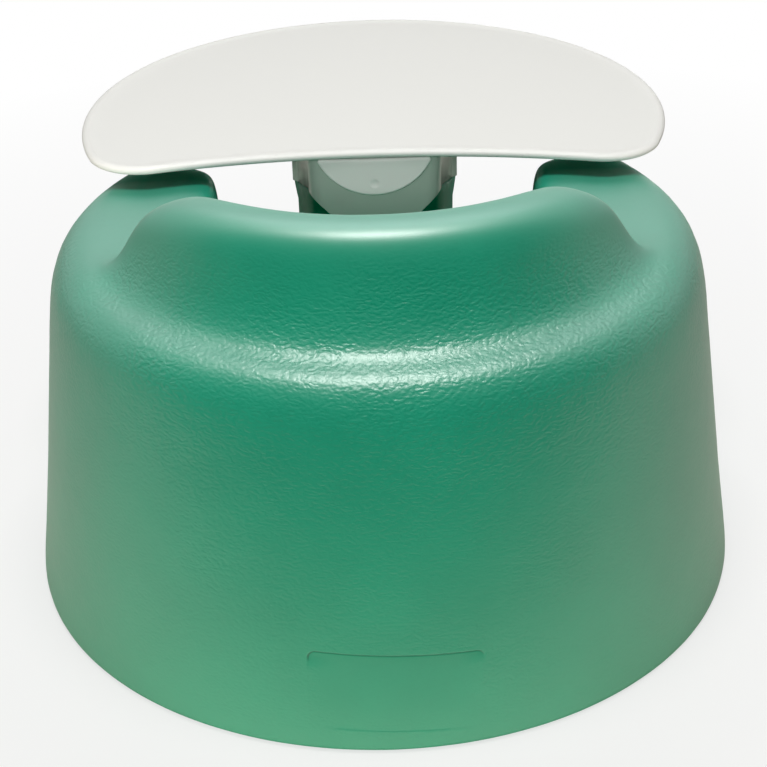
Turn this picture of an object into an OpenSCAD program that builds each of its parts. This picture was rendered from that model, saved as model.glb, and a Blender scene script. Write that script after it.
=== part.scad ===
// Baby floor seat: one foam moulding, and a play tray whose bracket caps the horn between the legs.
// Millimetres, +Z up, the child faces -Y, origin on the floor at the middle of the round base.

/* [Foam seat] */
// Radius of the round base
base_r = 190; // [158:1:228]
// How far the outer wall leans in, per millimetre of height
wall_lean = 0.126; // [0.06:0.002:0.16]
// Height of the armrests
arm_h = 192; // [160:1:230]
// Height of the backrest's top edge
back_h = 241; // [201:1:290]
// Radius of the backrest's top edge, seen from above
back_r = 101; // [84:1:121]
// Half of the hip room between the armrests
hip_r = 84; // [72:1:100]
// How far forward of the middle the armrests' inner sides reach
arm_reach = 84; // [70:1:96]
// Height of the seat hollow's lowest point
bowl_h = 68; // [50:1:82]
// Height of the leg openings' lower edge
leg_h = 107; // [90:1:128]
// Angle from the front at which the armrests' outer sides end
leg_angle = 51; // [43:1:61]
// Angle from the front at which the backrest rises out of the armrests
wing_angle = 103; // [90:1:120]

/* [Horn] */
// Height of the horn between the legs
horn_h = 187.5; // [160:0.5:225]
// Half width of the horn at its widest
horn_hw = 47; // [39:0.5:56]
// Distance of the horn's rear face from the middle of the seat
horn_rear = 69; // [58:1:80]
// Distance of the horn's front face from the middle of the seat
horn_front = 127; // [116:1:150]

/* [Tray] */
// Radius of the tray's round front
tray_r = 165; // [138:1:198]
// Radius of the tray's two rear corners
tray_corner_r = 32; // [20:1:42]
// How far the centre of the round front lies ahead of the corners' centres
tray_reach = 45; // [30:1:60]
// How far the tray's corners reach behind its waist
tray_waist = 15; // [6:0.5:24]
// Distance of the tray's rear edge from the middle of the seat
tray_rear = 60; // [52:1:66]
// Thickness of the tray's plate
tray_t = 3; // [2:0.2:5]
// Half width of the round bead along the tray's edge
bead_hw = 3.5; // [2:0.1:5]
// How far the bead stands above the plate
bead_h = 1.1; // [0.4:0.1:2.5]

/* [Bracket] */
// Wall thickness of the bracket
wall_t = 2.8; // [2:0.1:4]
// Gap between the bracket and the foam
foam_gap = 0.5; // [0.3:0.1:1.5]
// Gap between plastic pieces
fit_gap = 0.3; // [0.2:0.05:0.6]
// Half width of the bracket's rear panel
panel_hw = 37; // [31:1:42]
// How far the rear panel hangs below the horn's top
panel_drop = 38; // [32:1:46]
// Depth of the well in the bracket's top, which takes the tray's rim
well_depth = 10; // [6:0.5:16]
// Radius of the round tab behind the tray
tab_r = 34; // [28:1:40]
// How far the tab hangs down
tab_drop = 20; // [12:1:26]
// Thickness of the tab
tab_t = 2.6; // [2:0.1:3.4]

/* [Hidden] */

foam_colour = "#3FA081";
tray_colour = "#E6E4E0";
bracket_colour = "#DDDFDA";

function mix(a, b, k) = a * (1 - k) + b * k;
function clamp(v) = max(0, min(1, v));

// ---- Foam seat: a loft of smooth sections, one column of points after another round the seat ----

// Outer wall radius at height z
function wall_r(z) = base_r - wall_lean * z;

// Heights where the outer wall ends: under the armrests' rounded shoulder, and on the leaning horn
shoulder_drop = 17;
rim_r = wall_r(arm_h - shoulder_drop);
horn_lean_z = leg_h + 10;

// Rows of a section from the base edge up the outer wall to a height
wall_steps = [0.2, 0.45, 0.68, 0.845];
function foot_rows(top) = concat(
    [[base_r - 4, 0], [base_r - 0.5, 0], [base_r + 0.6, 4]],
    [for (k = wall_steps) let (z = mix(4, top, k)) [wall_r(z), z]]);

// Rows in the floor of the hollow
function hollow_rows(rise) = [[hip_r * 0.4, bowl_h + rise], [0, bowl_h]];

// Sections as [radius, height], from the base edge over the rim and down to the hollow's middle.
// A row across the rim is a share of the way k from the outer shoulder to the inner edge at radius r.
function across(r, k) = mix(rim_r - 9, r, k);
wall_foot_z = bowl_h + 44;

function arm_section() = let (h = arm_h, r = hip_r, edge = r + 14) concat(
    foot_rows(h - shoulder_drop), [
    [rim_r, h - 17], [across(edge, 0), h - 4.5], [across(edge, 0.12), h - 1], [across(edge, 0.2), h - 0.2],
    [across(edge, 0.26), h + 0.1], [across(edge, 0.33), h + 0.2], [across(edge, 0.42), h],
    [across(edge, 0.6), h], [across(edge, 1), h], [r + 0.5, h - 1.5], [r - 0.5, h - 22],
    [r - 3, wall_foot_z], [r - 18, bowl_h + 13]],
    hollow_rows(3));

function back_section() = let (a = arm_h, h = back_h, r = back_r) concat(
    foot_rows(a - shoulder_drop), [
    [rim_r, a - 17], [rim_r - 8.7, a - 6], [r + 48, a - 4.5], [r + 39.5, a - 0.5],
    [r + 33.5, a + 12], [r + 29.5, mix(a, h, 0.55)], [r + 26, h - 5],
    [r + 16, h + 1.5], [r - 3, h + 0.5], [r - 10, h - 13],
    [r - 16, h - 66], [r - 25, wall_foot_z], [r - 41, bowl_h + 16]],
    hollow_rows(4));

function leg_section() = let (h = leg_h, out = wall_r(h), in = inner_r) concat(
    foot_rows(h - 6), [
    [out + 1, h - 6], [mix(out, in, 0.06), h - 2], [mix(out, in, 0.12), h - 0.5], [mix(out, in, 0.17), h],
    [mix(out, in, 0.22), h], [mix(out, in, 0.27), h - 0.5], [mix(out, in, 0.32), h - 1.5],
    [mix(out, in, 0.39), h - 3], [mix(out, in, 0.49), h - 6], [mix(out, in, 0.62), h - 11],
    [mix(out, in, 0.77), h - 16], [mix(out, in, 0.95), h - 22], [in - 14, bowl_h + 12]],
    hollow_rows(3));

function horn_section() = let (h = horn_h, f = horn_front, r = horn_rear, low = horn_lean_z, up = h - 26) concat(
    foot_rows(low), [
    [wall_r(low) - 2, low], [mix(wall_r(low), f + 19, 0.38), mix(low, up, 0.37)],
    [mix(wall_r(low), f + 19, 0.69), mix(low, up, 0.7)], [f + 19, up], [f + 11, h - 14],
    [f + 1, h - 4.5], [f - 10, h - 0.3], [f - 24, h + 0.3], [r + 16, h - 1.7], [r + 2.5, h - 11],
    [r, h - 39], [r - 1.5, wall_foot_z], [r - 12, bowl_h + 15]],
    hollow_rows(3));

rows = 22;
// Radii at the outer wall and at the hollow's wall, between which a column's angle changes
outer_r = wall_r(leg_h + 36);
inner_r = (hip_r + horn_rear) / 2;
// Angles of the horn's flank, out and in, from its half width
flank_out = asin(horn_hw / outer_r) + 2;
flank_in = asin((horn_hw - 12) / inner_r) + 0.3;
// How far the flank draws in below the horn's widest, in degrees
flank_pinch = 2.6;
// Angle at the hollow's wall of the armrests' front end
reach_angle = atan(hip_r / arm_reach);

function leg_column(k) =
    [mix(flank_out, leg_angle, k), mix(flank_in, reach_angle, k), 1, 0, 0];
function arm_column(k) =
    let (a = mix(leg_angle + 11, wing_angle, k), b = mix(reach_angle + 14, wing_angle, k)) [a, b, 0, 0, 0];
function back_column(k, share) =
    let (a = mix(wing_angle, 180, k)) [a, a, 0, 0, share];

// Columns round half of the seat, front to rear: [angle at the outer wall, angle at the hollow's wall,
// leg share, horn share, back share]. What is left over is the armrest's share.
half_columns = concat(
    [for (k = [0, 0.42, 0.76]) [(flank_out - 3.4) * k, (flank_in - 4) * k, 0, 1, 0]],
    [[flank_out - 2.8, flank_in - 3.6, 0, 1, 0],
    [flank_out - 1, flank_in - 1, 0.07, 0.93, 0],
    [flank_out - flank_pinch * 0.8, flank_in - 1, 0.25, 0.75, 0],
    [flank_out - flank_pinch, flank_in - 1, 0.55, 0.45, 0],
    [flank_out - flank_pinch * 0.5, flank_in, 0.88, 0.12, 0]],
    [for (k = [0.12, 0.34, 0.56, 0.77]) leg_column(k)],
    [[leg_angle - 2, reach_angle - 0.8, 0.88, 0, 0],
    [leg_angle + 0.5, reach_angle, 0.55, 0, 0],
    [leg_angle + 0.5, reach_angle, 0.22, 0, 0],
    [leg_angle + 1.5, reach_angle + 1, 0.05, 0, 0],
    [leg_angle + 5, reach_angle + 5, 0, 0, 0]],
    [for (k = [0, 0.25, 0.55, 0.83]) arm_column(k)],
    [back_column(0, 0), back_column(0.05, 0.02), back_column(0.09, 0.1), back_column(0.122, 0.28),
    back_column(0.16, 0.55), back_column(0.205, 0.73), back_column(0.27, 0.835), back_column(0.375, 0.905),
    back_column(0.54, 0.955), back_column(0.75, 0.985), back_column(1, 1)]);

// Angle of a column's point at radius r
function column_angle(c, r) =
    let (inward = clamp((outer_r - r) / (outer_r - inner_r)),
         even = (c[0] + c[1]) / 2,
         fan = clamp((inner_r - r) / inner_r))
    mix(mix(c[0], c[1], inward), even, fan);

// The hollow's plan is round at the back, straight beside the hips and straight across the horn
stretch_rows = [0.2, 0.4, 0.75, 1, 1, 1, 0.6];
function plan_stretch(c, i) =
    let (beside = 1 / max(sin(c[1]), sin(reach_angle)) - 1,
         across = 1 / cos(c[1]) - 1,
         arm_share = 1 - c[2] - c[3] - c[4],
         depth = i < 13 || i > 19 ? 0 : stretch_rows[i - 13])
    1 + depth * (c[1] < 90 ? beside * (arm_share + c[2] * 0.4) + across * c[3] : 0);

function column_section(c) =
    let (arm = arm_section(), back = back_section(), leg = leg_section(), horn = horn_section(),
         arm_share = 1 - c[2] - c[3] - c[4])
    [for (i = [0:rows - 1])
        let (p = arm[i] * arm_share + leg[i] * c[2] + horn[i] * c[3] + back[i] * c[4],
             r = p[0] * plan_stretch(c, i))
        [column_angle(c, r), r, p[1]]];

// Cubic B-spline through control points i to i + 3
function weights(t) = [pow(1 - t, 3), 3 * pow(t, 3) - 6 * t * t + 4, 3 * (t + t * t - pow(t, 3)) + 1, pow(t, 3)] / 6;
function blend(list, i, t) =
    let (w = weights(t))
    list[i] * w[0] + list[i + 1] * w[1] + list[i + 2] * w[2] + list[i + 3] * w[3];
function clamped(list) = let (a = list[0], b = list[len(list) - 1]) concat([a, a], list, [b, b]);

// Points made from each span of a section: more where it bends more
span_points = [1, 2, 2, 1, 1, 1, 1, 2, 2, 1, 1, 1, 1, 2, 3, 3, 2, 2, 2, 1, 2, 1, 1];
function smooth_section(list) =
    let (c = clamped(list))
    [for (i = [0:len(c) - 4]) let (n = span_points[i]) for (j = [0:n - 1]) blend(c, i, j / n)];

half = [for (c = half_columns) smooth_section(column_section(c))];
last = len(half) - 1;
function mirrored(section) = [for (p = section) [-p[0], p[1], p[2]]];
function turned(section) = [for (p = section) [p[0] + 360, p[1], p[2]]];
// All the way round, with three columns more so that the blend closes
ring = [for (i = [-last + 1:last]) i < 0 ? mirrored(half[-i]) : half[i]];
closed = concat(ring, [for (i = [0:2]) turned(ring[i])]);
// Widest step round the base, in degrees
column_step = 4;
base_row = 4;
function span_columns(i) = max(1, round((closed[i + 2][base_row][0] - closed[i + 1][base_row][0]) / column_step));
columns = [for (i = [0:len(ring) - 1]) let (n = span_columns(i)) for (j = [0:n - 1]) blend(closed, i, j / n)];

function place(p) = [p[1] * sin(p[0]), -p[1] * cos(p[0]), p[2]];

// Closed skin over columns of points, with a flat bottom and a single point in the middle of the top
module loft(columns, centre) {
    n = len(columns);
    m = len(columns[0]);
    points = concat([for (c = columns) for (p = c) place(p)], [centre]);
    sides = [for (i = [0:n - 1]) for (j = [0:m - 2]) let (k = (i + 1) % n)
        each [[i * m + j, i * m + j + 1, k * m + j + 1], [i * m + j, k * m + j + 1, k * m + j]]];
    middle = [for (i = [0:n - 1]) [i * m + m - 1, n * m, ((i + 1) % n) * m + m - 1]];
    bottom = [[for (i = [0:n - 1]) i * m]];
    polyhedron(points, concat(sides, middle, bottom));
}

// What the bracket's flanks cover, drawn from the side and lowered by a gap
function flank_cover(gap) = [
    [panel_y + 1, horn_h + 10], [panel_y + 1, flank_rear_low - gap], [panel_y - rear_round, flank_rear_low - gap],
    [step_y, flank_step_low - gap], [step_y - step, flank_step_low - gap],
    [collar_front + front_round, front_low - gap], [collar_front - 1, front_low - gap],
    [collar_front - 1, horn_h + 10]];

// The horn's flanks are cut back by the bracket's thickness, so that bracket and foam lie flush
module horn_rebate() {
    difference() {
        rotate([90, 0, 90]) translate([0, 0, -collar_hw - 8]) linear_extrude(2 * collar_hw + 16)
            polygon(flank_cover(foam_gap));
        translate([0, 0, panel_low - 1]) linear_extrude(horn_h + 20 - panel_low)
            polygon(collar_outline(wall_t + foam_gap));
    }
}

module foam_seat() {
    color(foam_colour) difference() {
        loft(columns, [0, 0, bowl_h]);
        horn_rebate();
    }
}

// ---- Play tray ----

// Heights, from the horn upwards
deck_z = horn_h + foam_gap;
collar_z = deck_z + wall_t + well_depth;
tray_bottom = collar_z + fit_gap;
tray_top_z = tray_bottom + tray_t;

// Plan of the tray: a round front, two round corners and a hollow waist, all tangent
corner_y = -(tray_rear - tray_waist) - tray_corner_r;
tray_y = corner_y - tray_reach;
corner_x = sqrt(pow(tray_r - tray_corner_r, 2) - pow(corner_y - tray_y, 2));
waist_reach = tray_corner_r + tray_rear;
waist_y = (corner_x * corner_x + corner_y * corner_y - waist_reach * waist_reach) / (2 * (waist_reach + corner_y));
waist_r = waist_y + tray_rear;
corner_start = atan2(corner_y - tray_y, corner_x);
corner_end = atan2(waist_y - corner_y, -corner_x);

// n points of an arc, and its end point where last is 1
function arc(x, y, r, from, to, n, last = 0) =
    [for (i = [0:n - 1 + last]) let (a = mix(from, to, i / n)) [x + r * cos(a), y + r * sin(a)]];

// Outline, drawn in by d, anticlockwise from the right-hand corner
function tray_outline(d) = concat(
    arc(corner_x, corner_y, tray_corner_r - d, corner_start, corner_end, 12),
    arc(0, waist_y, waist_r + d, corner_end - 180, -corner_end, 12),
    arc(-corner_x, corner_y, tray_corner_r - d, 180 - corner_end, 180 - corner_start, 12),
    arc(0, tray_y, tray_r - d, 180 - corner_start, 360 + corner_start, 60));

// Section of the rim as [distance in from the edge, height]: underside, round bead, top face
bead_drop = 0.9;
function rim_profile() =
    let (mid = (tray_bottom - bead_drop + tray_top_z + bead_h) / 2,
         half_h = (tray_t + bead_drop + bead_h) / 2,
         turn = 118,
         steps = 10)
    concat([[bead_hw * 1.75, tray_bottom]],
        [for (i = [0:steps]) let (a = mix(-turn, turn, i / steps))
            [bead_hw * (1 - cos(a)), mid + half_h * sin(a)]],
        [[bead_hw * 2.1, tray_top_z]]);

module swept_plate(profile) {
    n = len(tray_outline(0));
    m = len(profile);
    points = [for (p = profile) for (q = tray_outline(p[0])) [q[0], q[1], p[1]]];
    sides = [for (j = [0:m - 2]) for (i = [0:n - 1]) let (k = (i + 1) % n)
        each [[j * n + i, (j + 1) * n + i, (j + 1) * n + k], [j * n + i, (j + 1) * n + k, j * n + k]]];
    bottom = [[for (i = [0:n - 1]) i]];
    top = [[for (i = [n - 1:-1:0]) (m - 1) * n + i]];
    polyhedron(points, concat(sides, bottom, top));
}

// Plan of the bracket: a collar, narrow behind and stepping out to its full width beside the horn
tab_set = 0.6;
tab_gap = 0.9;
panel_y = -tray_rear - tab_set - tab_t - tab_gap;
step_y = mix(-horn_rear, -horn_front, 0.74);
step = 3;
rear_round = 9;
front_round = 7;
collar_front = -horn_front - 17;
collar_hw = horn_hw + 0.4;
flank_turn = atan2(collar_hw - step - panel_hw, panel_y - rear_round - step_y);

// Right half of the collar's plan, from the rear edge to the front edge, drawn in by d
function collar_half(d) = concat(
    arc(panel_hw - rear_round, panel_y - rear_round, rear_round - d, 90, flank_turn, 5, 1),
    [[collar_hw - step - d, step_y], [collar_hw - d, step_y - step]],
    arc(collar_hw - front_round, collar_front + front_round, front_round - d, 0, -90, 5, 1));
function collar_outline(d) = let (h = collar_half(d), n = len(h))
    concat(h, [for (i = [n - 1:-1:0]) [-h[i][0], h[i][1]]]);

// Lower edges of the collar: the rear panel's point, the flanks and the front wall
panel_low = deck_z - panel_drop;
flank_rear_low = deck_z - 9.5;
flank_step_low = deck_z - 22;
front_low = deck_z - 16;
panel_tip_hw = 10;

module tray_bracket() {
    color(bracket_colour)
    difference() {
        translate([0, 0, panel_low]) linear_extrude(collar_z - panel_low) polygon(collar_outline(0));
        // the hollow that takes the horn
        translate([0, 0, panel_low - 1]) linear_extrude(panel_drop + 1) polygon(collar_outline(wall_t));
        // the well for the tray's rim
        translate([0, 0, deck_z + wall_t]) linear_extrude(well_depth + 1) polygon(collar_outline(wall_t));
        // the rear wall is lower, under the tray's bead
        translate([-collar_hw, -tray_rear - 2 * bead_hw - fit_gap, collar_z - bead_drop])
            cube([2 * collar_hw, 4 * bead_hw, bead_drop + 1]);
        // the flanks and the front end higher than the rear panel
        rotate([90, 0, 90]) translate([0, 0, -collar_hw - 5]) linear_extrude(2 * collar_hw + 10)
            polygon([[panel_y - rear_round, panel_low - 1], [panel_y - rear_round, flank_rear_low],
                [step_y, flank_step_low], [step_y - step, flank_step_low], [collar_front + front_round, front_low],
                [collar_front - 1, front_low], [collar_front - 1, panel_low - 1]]);
        // the rear panel narrows downwards to a blunt point
        for (s = [0, 1]) mirror([s, 0, 0]) translate([0, panel_y + 1, 0])
            rotate([90, 0, 0]) linear_extrude(rear_round + 2)
            polygon([[panel_hw + 1, flank_rear_low], [panel_hw - 0.5, flank_rear_low],
                [panel_tip_hw, panel_low - 0.5], [panel_hw + 1, panel_low - 0.5]]);
    }
}

module tray_top() {
    socket_wall = 2;
    socket_drop = min(4, well_depth - fit_gap);
    color(tray_colour) union() {
        swept_plate(rim_profile());
        // rim under the plate that drops into the bracket's well
        translate([0, 0, tray_bottom - socket_drop]) linear_extrude(socket_drop + 1) difference() {
            polygon(collar_outline(wall_t + fit_gap));
            polygon(collar_outline(wall_t + fit_gap + socket_wall));
        }
    }
}

// Hinge line of the tab, just under the tray's rear edge
tab_axis_z = tray_bottom - bead_drop - fit_gap - tab_t / 2;
tab_axis_y = -tray_rear - tab_set - tab_t / 2;
tab_low = tab_axis_z - tab_drop;
tab_top_hw = sqrt(pow(tab_r, 2) - pow(tab_r - tab_drop, 2));
// Detent near the tab's lower edge: a dome behind and a dimple in front
detent_r = 9;
detent_up = 7;
detent_depth = 0.7;

module clip_tab() {
    color(tray_colour)
    difference() {
        union() {
            intersection() {
                translate([0, tab_axis_y - tab_t / 2, tab_low + tab_r]) rotate([-90, 0, 0])
                    cylinder(r = tab_r, h = tab_t, $fn = 96);
                translate([-tab_r, tab_axis_y - tab_t, tab_low - 1]) cube([2 * tab_r, 2 * tab_t, tab_drop + 1]);
            }
            // rolled edge that turns in the crook of the tray's rim
            translate([-tab_top_hw, tab_axis_y, tab_axis_z]) rotate([0, 90, 0])
                cylinder(d = tab_t, h = 2 * tab_top_hw, $fn = 32);
            translate([0, tab_axis_y - tab_t / 2 + detent_r - detent_depth, tab_low + detent_up])
                intersection() {
                    sphere(r = detent_r, $fn = 48);
                    translate([-detent_r, -detent_r - 1, -detent_r]) cube([2 * detent_r, detent_depth + 1.4, 2 * detent_r]);
                }
        }
        translate([0, tab_axis_y + tab_t / 2 + detent_r - detent_depth, tab_low + detent_up]) sphere(r = detent_r, $fn = 48);
    }
}

foam_seat();
tray_top();
clip_tab();
tray_bracket();
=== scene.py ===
import math

import bmesh
import bpy
import numpy as np
from mathutils import Matrix, Vector, noise


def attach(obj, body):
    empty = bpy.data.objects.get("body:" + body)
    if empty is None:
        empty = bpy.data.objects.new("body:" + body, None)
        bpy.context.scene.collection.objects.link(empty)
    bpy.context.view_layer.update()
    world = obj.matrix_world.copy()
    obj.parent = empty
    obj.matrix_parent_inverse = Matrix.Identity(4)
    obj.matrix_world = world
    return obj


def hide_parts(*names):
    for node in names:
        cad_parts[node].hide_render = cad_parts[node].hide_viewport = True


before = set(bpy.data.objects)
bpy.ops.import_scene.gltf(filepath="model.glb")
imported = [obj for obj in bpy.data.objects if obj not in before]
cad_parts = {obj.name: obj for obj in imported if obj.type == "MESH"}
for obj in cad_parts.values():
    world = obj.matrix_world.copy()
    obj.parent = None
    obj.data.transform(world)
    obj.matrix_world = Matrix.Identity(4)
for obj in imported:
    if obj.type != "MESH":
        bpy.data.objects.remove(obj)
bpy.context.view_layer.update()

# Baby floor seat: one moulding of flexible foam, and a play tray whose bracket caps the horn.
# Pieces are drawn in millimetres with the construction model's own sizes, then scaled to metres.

MM = 0.001


# ---- Mesh helpers ----

def mix(a, b, k):
    return a * (1 - k) + b * k


def smoothstep(low, high, value):
    t = np.clip((value - low) / (high - low), 0, 1)
    return t * t * (3 - 2 * t)


def spline_weights(count, at):
    """Weights of a uniform cubic B-spline's control points, at parameters counted in spans."""
    first = np.minimum(np.floor(at).astype(int), count - 4)
    t = at - first
    weights = np.zeros((len(at), count))
    parts = ((1 - t) ** 3, 3 * t ** 3 - 6 * t * t + 4, 3 * (t + t * t - t ** 3) + 1, t ** 3)
    for k, part in enumerate(parts):
        weights[np.arange(len(at)), first + k] = part / 6
    return weights


def grid_faces(columns, rows, close_columns=True):
    """Quads of a grid of points that run row by row within each column."""
    steps = columns if close_columns else columns - 1
    i, j = np.meshgrid(np.arange(steps), np.arange(rows - 1), indexing="ij")
    k = (i + 1) % columns
    corners = [i * rows + j, i * rows + j + 1, k * rows + j + 1, k * rows + j]
    return np.stack(corners, -1).reshape(-1, 4)


def mesh_piece(name, points, faces, material, sharp_degrees=180):
    """A smooth-shaded object from points in millimetres; edges past an angle stay sharp."""
    mesh = bpy.data.meshes.new(name)
    mesh.from_pydata((np.asarray(points) * MM).tolist(), [], [list(map(int, f)) for f in faces])
    mesh.validate()
    mesh.polygons.foreach_set("use_smooth", [True] * len(mesh.polygons))
    if sharp_degrees < 180:
        mesh.set_sharp_from_angle(angle=math.radians(sharp_degrees))
    mesh.materials.append(material)
    piece = bpy.data.objects.new(name, mesh)
    bpy.context.collection.objects.link(piece)
    return piece


# ---- Materials ----

def linear(code, alpha=1.0):
    """An sRGB hex colour as linear RGBA."""
    parts = [int(code[i:i + 2], 16) / 255 for i in (1, 3, 5)]
    return [c / 12.92 if c <= 0.04045 else ((c + 0.055) / 1.055) ** 2.4 for c in parts] + [alpha]


def add(tree, kind, settings=None, **links):
    """Adds a node. A setting is a property or an input; a link feeds an input from an output."""
    node = tree.nodes.new(kind)
    for key, value in (settings or {}).items():
        if isinstance(key, str) and hasattr(node, key):
            setattr(node, key, value)
        else:
            node.inputs[key].default_value = value
    for key, source in links.items():
        name = key.replace("_", " ") if not key.startswith("in") else int(key[2:])
        tree.links.new(source, node.inputs[name])
    return node


def new_material(name, **shader):
    material = bpy.data.materials.new(name)
    material.use_nodes = True
    tree = material.node_tree
    principled = tree.nodes["Principled BSDF"]
    for key, value in shader.items():
        principled.inputs[key.replace("_", " ")].default_value = value
    return material, tree, principled


# Flexible polyurethane foam with its own moulded skin: satin, with fine wrinkles that lie flat,
# slightly cloudy, and a little more olive towards the foot, partly its own tone and partly painted
# light bounced up from the floor. Polyurethane's IOR is near 1.5; the skin's broad shine is
# matched with 1.75 and a soft coat.
FOAM_GREEN = "#039577"
FOAM_GREEN_FLOOR_BOUNCE = "#2C9C79"
WRINKLE_MM = 2.3
WRINKLE_WARP_MM = 7
WRINKLE_DEPTH_MM = 0.24
PATCH_MM = 38
GRAIN_MM = 0.9
GRAIN_DEPTH_MM = 0.05
CLOUD_MM = 55
FLATTEN = 1.7   # the wrinkles are this much wider than high


def foam_material():
    material, tree, principled = new_material(
        "moulded_foam_skin", Roughness=0.45, IOR=1.75, Coat_Roughness=0.36)
    coords = add(tree, "ShaderNodeTexCoord").outputs["Object"]
    flat = add(tree, "ShaderNodeMapping", {"Scale": (1, 1, FLATTEN)},
               Vector=coords).outputs["Vector"]
    wrinkled = add(tree, "ShaderNodeAttribute", {"attribute_name": "wrinkled"}).outputs["Fac"]
    # glossy outside and dull in the hollow; on the armrests' ends and the horn's flanks under the
    # tray the shine is cut as painted shade
    inside = add(tree, "ShaderNodeAttribute", {"attribute_name": "inside"}).outputs["Fac"]
    gloss = add(tree, "ShaderNodeMapRange", {3: 1.0, 4: 0.06}, in0=inside).outputs["Result"]
    tree.links.new(gloss, principled.inputs["Specular IOR Level"])
    coat = add(tree, "ShaderNodeMapRange", {3: 0.5, 4: 0.0}, in0=inside).outputs["Result"]
    tree.links.new(coat, principled.inputs["Coat Weight"])
    # wrinkles: soft ridges of a warped noise, 2 to 3 mm apart, fainter in patches
    warp = add(tree, "ShaderNodeTexNoise", {"Scale": 1 / (WRINKLE_WARP_MM * MM), "Detail": 0.0},
               Vector=flat).outputs["Color"]
    warped = add(tree, "ShaderNodeMixRGB", {"blend_type": "LINEAR_LIGHT", 0: 0.0012},
                 in1=flat, in2=warp).outputs["Color"]
    ridges = add(tree, "ShaderNodeTexNoise",
                 {"Scale": 1 / (WRINKLE_MM * MM), "Detail": 0.8, "Roughness": 0.4},
                 Vector=warped).outputs["Fac"]
    folded = add(tree, "ShaderNodeMapRange", {"interpolation_type": "SMOOTHSTEP", 1: 0.24, 2: 0.7},
                 in0=ridges).outputs["Result"]
    patch = add(tree, "ShaderNodeTexNoise", {"Scale": 1 / (PATCH_MM * MM), "Detail": 1.5},
                Vector=coords).outputs["Fac"]
    patchy = add(tree, "ShaderNodeMapRange", {1: 0.3, 2: 0.65, 3: 0.45, 4: 1.0},
                 in0=patch).outputs["Result"]
    depth = add(tree, "ShaderNodeMath", {"operation": "MULTIPLY"},
                in0=wrinkled, in1=patchy).outputs[0]
    height = add(tree, "ShaderNodeMath", {"operation": "MULTIPLY"},
                 in0=folded, in1=depth).outputs[0]
    wrinkles = add(tree, "ShaderNodeBump", {"Strength": 1.0, "Distance": WRINKLE_DEPTH_MM * MM},
                   Height=height).outputs["Normal"]
    # fine grain all over, drawn about twice as coarse as the real one so that it shows
    grain = add(tree, "ShaderNodeTexNoise", {"Scale": 1 / (GRAIN_MM * MM), "Detail": 2.0},
                Vector=coords).outputs["Fac"]
    skin = add(tree, "ShaderNodeBump", {"Strength": 0.5, "Distance": GRAIN_DEPTH_MM * MM},
               Height=grain, Normal=wrinkles).outputs["Normal"]
    tree.links.new(skin, principled.inputs["Normal"])
    # colour: a little cloudy, with painted shade in the hollows between the wrinkles and in the
    # recess's crease
    cloud = add(tree, "ShaderNodeTexNoise", {"Scale": 1 / (CLOUD_MM * MM), "Detail": 3.0},
                Vector=coords).outputs["Fac"]
    low = add(tree, "ShaderNodeSeparateXYZ", in0=coords).outputs["Z"]
    # painted floor bounce: lighter and more olive near the foot, partly the foam's own tone
    foot = add(tree, "ShaderNodeMapRange", {1: 0.02, 2: 0.17, 3: 1.0, 4: 0.0},
               in0=low).outputs["Result"]
    tint = add(tree, "ShaderNodeMix",
               {"data_type": "RGBA", 6: linear(FOAM_GREEN), 7: linear(FOAM_GREEN_FLOOR_BOUNCE)},
               in0=foot).outputs[2]
    shade = add(tree, "ShaderNodeMapRange", {1: 0.3, 2: 0.7, 3: 0.95, 4: 1.05},
                in0=cloud).outputs["Result"]
    # painted shade: slightly darker in the hollows between the wrinkles
    between = add(tree, "ShaderNodeMapRange", {1: 0.0, 2: 0.5, 3: 0.97, 4: 1.0},
                  in0=folded).outputs["Result"]
    # painted shade: the recess's crease is darkened in colour, besides its real depth
    groove = add(tree, "ShaderNodeAttribute", {"attribute_name": "groove"}).outputs["Fac"]
    crease = add(tree, "ShaderNodeMapRange", {3: 1.0, 4: 0.42}, in0=groove).outputs["Result"]
    mottle_and_shade = add(tree, "ShaderNodeMath", {"operation": "MULTIPLY"},
                  in0=shade, in1=between).outputs[0]
    tone_and_painted_shade = add(tree, "ShaderNodeMath", {"operation": "MULTIPLY"},
                   in0=mottle_and_shade, in1=crease).outputs[0]
    colour = add(tree, "ShaderNodeVectorMath", {"operation": "SCALE"}, in0=tint, Scale=tone_and_painted_shade)
    tree.links.new(colour.outputs[0], principled.inputs["Base Color"])
    return material


# Polypropylene, injection moulded: warm off-white and softly glossy. Its fine satin grain is
# drawn a few times coarser than the mould's, so that it shows.
def tray_material():
    material, tree, principled = new_material(
        "moulded_polypropylene_white", Base_Color=linear("#E3E3DF"), Roughness=0.42, IOR=1.49)
    coords = add(tree, "ShaderNodeTexCoord").outputs["Object"]
    grain = add(tree, "ShaderNodeTexNoise", {"Scale": 1 / (0.7 * MM), "Detail": 2.0},
                Vector=coords).outputs["Fac"]
    waves = add(tree, "ShaderNodeTexNoise", {"Scale": 1 / (60 * MM), "Detail": 1.0},
                Vector=coords).outputs["Fac"]
    dull = add(tree, "ShaderNodeMapRange", {1: 0.3, 2: 0.7, 3: 0.39, 4: 0.46},
               in0=waves).outputs["Result"]
    tree.links.new(dull, principled.inputs["Roughness"])
    bump = add(tree, "ShaderNodeBump", {"Strength": 0.2, "Distance": 0.02 * MM},
               Height=grain).outputs["Normal"]
    tree.links.new(bump, principled.inputs["Normal"])
    return material


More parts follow.
